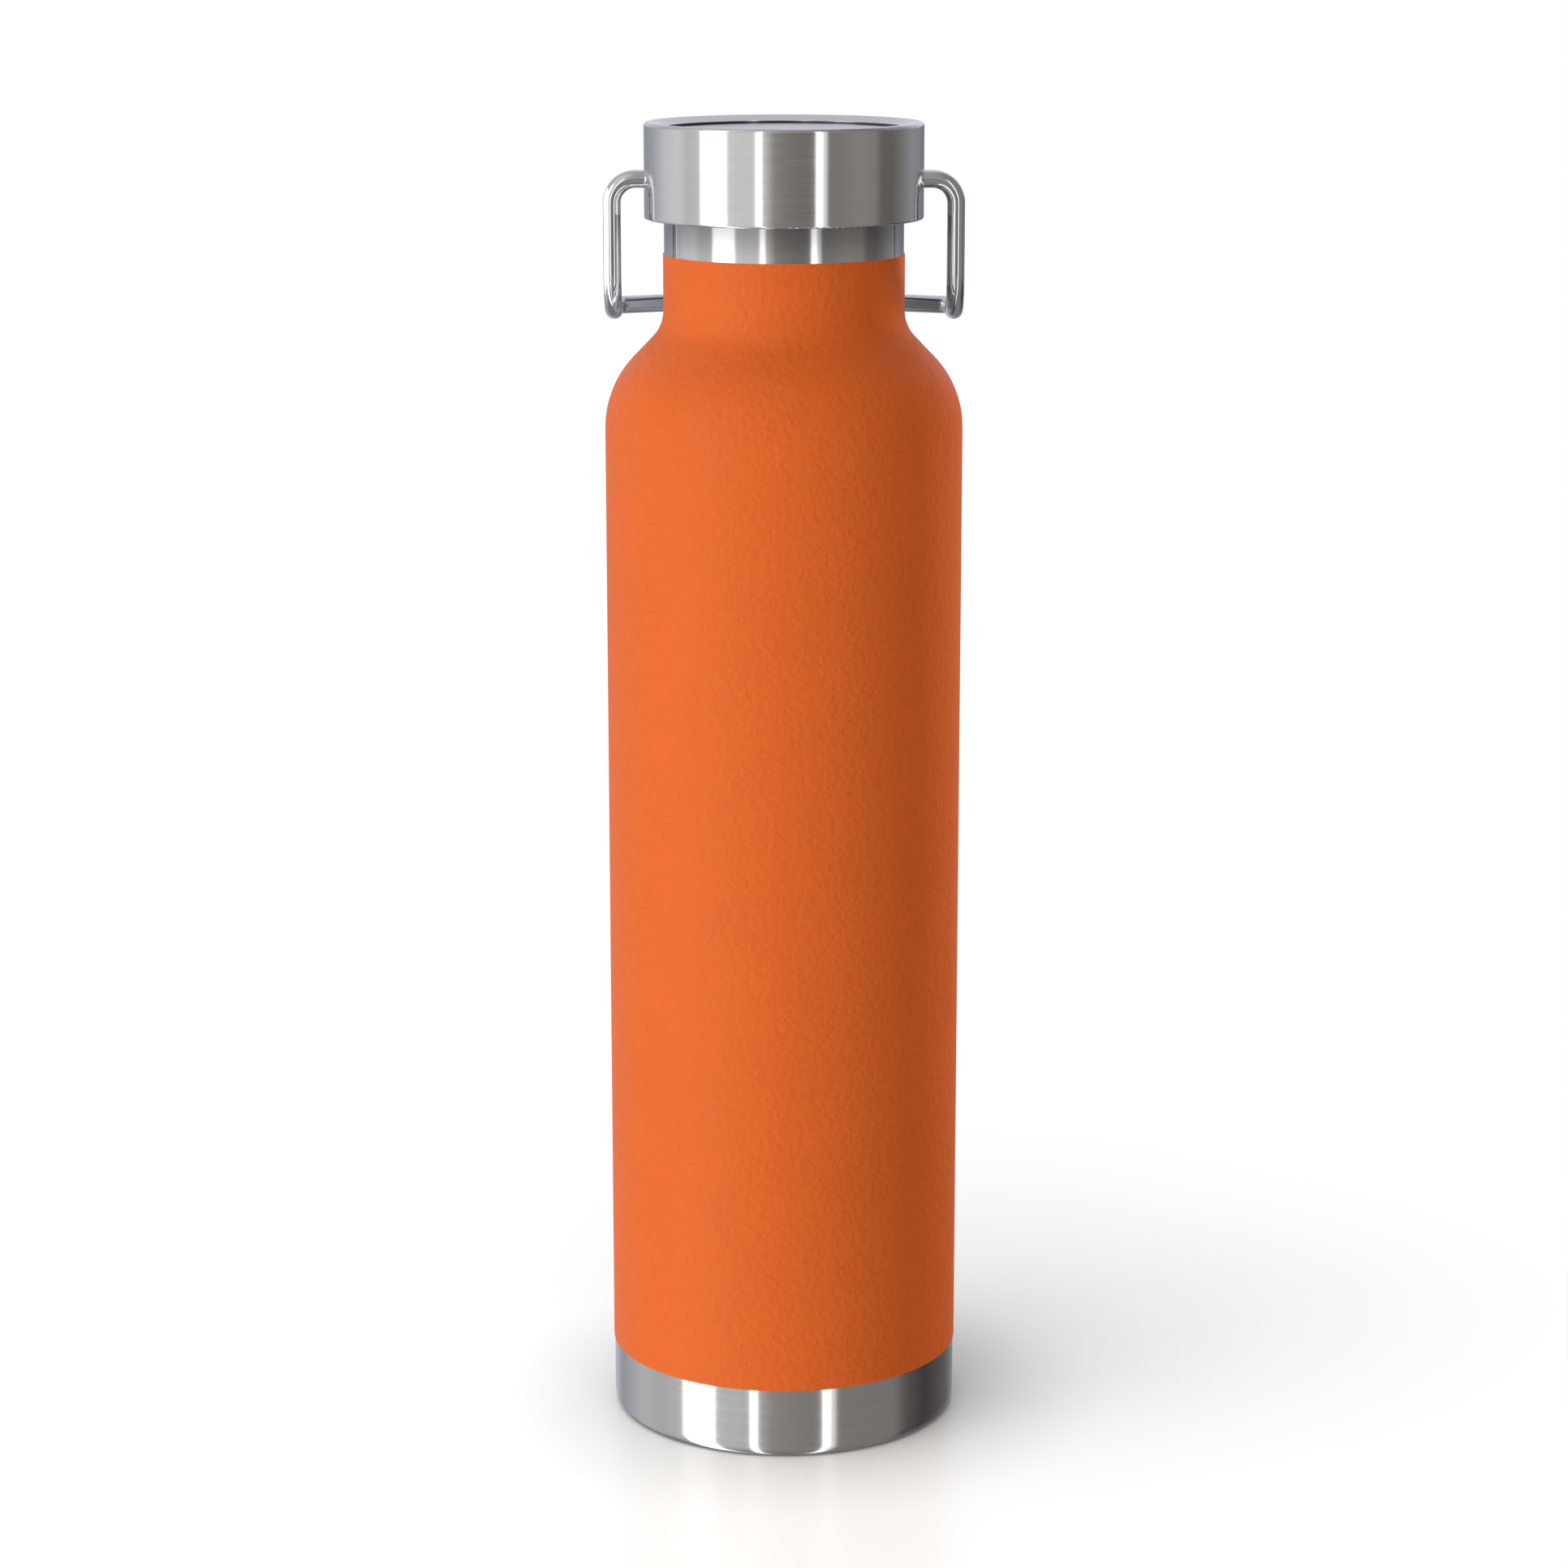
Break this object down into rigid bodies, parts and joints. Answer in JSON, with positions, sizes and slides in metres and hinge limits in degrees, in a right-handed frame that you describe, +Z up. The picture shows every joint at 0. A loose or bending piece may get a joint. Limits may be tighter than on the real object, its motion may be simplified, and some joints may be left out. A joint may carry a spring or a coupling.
{
  "type": "insulated water bottle",
  "caption": "Double-walled steel drinking bottle with orange powder coat, screw lid, swinging wire bail and a copper layer hidden between the walls.",
  "frame": {"origin": "centre of the standing ring, on the surface that the bottle stands on", "axes": "+Z up the bottle's axis to the lid; +X along the bail's pivot axis; +Y to the back, where the bail's cross bar hangs"},
  "size_m": [0.073, 0.0728, 0.2708],
  "materials": {
    "powder_coat": "semi-matte powder coat with a fine leathery texture",
    "brushed_steel": "brushed round the bottle",
    "base_steel": "satin",
    "lid_steel": "brushed round the lid",
    "disc_steel": "spun satin disc",
    "flask_steel": "electropolished",
    "spring_steel": "plain spring steel",
    "polished_wire": "polished stainless wire",
    "copper": "electroplated copper",
    "seal_glass": "fused sealing bead",
    "getter_alloy": "pressed grey pellet",
    "dark_plastic": "moulded polypropylene",
    "plug_plastic": "moulded polypropylene",
    "adhesive_tape": "acrylic adhesive tape",
    "foam": "expanded polystyrene foam",
    "silicone": "translucent white silicone",
    "nylon": "natural nylon"
  },
  "bodies": {
    "bottle": {"outer_shell": "brushed_steel", "outer_base": "base_steel", "base_cover": "base_steel", "vacuum_seal": "seal_glass", "getter": "getter_alloy", "getter_clip": "spring_steel", "inner_flask": "flask_steel", "inner_base": "flask_steel", "copper_layer": "copper", "powder_coat": "powder_coat"},
    "seal": {"sealing_gasket": "silicone"},
    "lid": {"lid_shell": "lid_steel", "lid_core": "dark_plastic", "lid_top_disc": "disc_steel", "disc_tape": "adhesive_tape", "threaded_plug": "plug_plastic", "plug_cover": "plug_plastic", "plug_foam": "foam", "pivot_bush_left": "nylon", "pivot_bush_right": "nylon"},
    "bail": {"bail_handle": "polished_wire", "wire_retainer_left": "spring_steel", "wire_retainer_right": "spring_steel"}
  },
  "joints": [
    {"name": "lid_lift", "type": "slide", "parent": "bottle", "child": "seal", "axis": [0, 0, 1], "range_m": [0, 0.0181]},
    {"name": "lid_turn", "type": "hinge", "parent": "seal", "child": "lid", "pos_m": [0, 0, 0.25], "axis": [0, 0, 1], "range_deg": [0, 540]},
    {"name": "bail_swing", "type": "hinge", "parent": "lid", "child": "bail", "pos_m": [0, 0, 0.2594], "axis": [1, 0, 0], "range_deg": [0, 266]}
  ],
  "couplings": [
    {"joint": "lid_lift", "follows": "lid_turn", "m_per_rad": 0.0019099}
  ]
}
